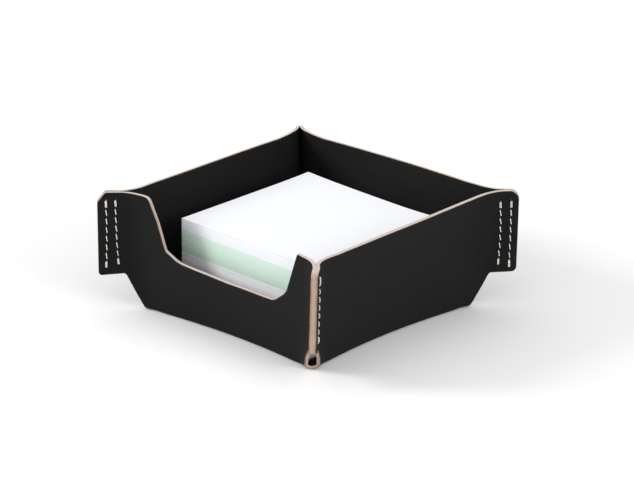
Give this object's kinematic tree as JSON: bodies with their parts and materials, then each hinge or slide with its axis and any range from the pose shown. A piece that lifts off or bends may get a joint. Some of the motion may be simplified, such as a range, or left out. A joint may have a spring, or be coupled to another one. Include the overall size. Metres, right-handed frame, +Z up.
{
  "type": "memo block tray",
  "caption": "Open square desk tray folded from one leather sheet, with sewn corner ears, a finger notch and a loose memo block.",
  "frame": {"origin": "middle of the tray's underside, on the desk", "axes": "+Z up; -Y out through the wall with the finger notch; X and Y along the tray's sides"},
  "size_m": [0.1502, 0.1502, 0.061],
  "materials": {
    "black_leather": "smooth vegetable-tanned leather, dyed black on both faces, with raw tan cut edges",
    "waxed_thread": "waxed off-white thread",
    "white_paper": "matt white note paper",
    "green_paper": "matt pale green note paper"
  },
  "bodies": {
    "tray": {"leather_tray": "black_leather", "thread_back_right_outer": "waxed_thread", "thread_back_right_inner": "waxed_thread", "thread_back_left_outer": "waxed_thread", "thread_back_left_inner": "waxed_thread", "thread_front_left_outer": "waxed_thread", "thread_front_left_inner": "waxed_thread", "thread_front_right_outer": "waxed_thread", "thread_front_right_inner": "waxed_thread"},
    "memo_block": {"paper_lower_white": "white_paper", "paper_green": "green_paper", "paper_upper_white": "white_paper"},
    "loose_sheet": {"paper_loose_sheet": "white_paper"}
  },
  "joints": [
    {"name": "memo_block_lift", "type": "slide", "parent": "tray", "child": "memo_block", "axis": [0, 0, 1], "range_m": [0, 0.08]},
    {"name": "loose_sheet_lift", "type": "slide", "parent": "memo_block", "child": "loose_sheet", "axis": [0, 0, 1], "range_m": [0, 0.05]}
  ]
}
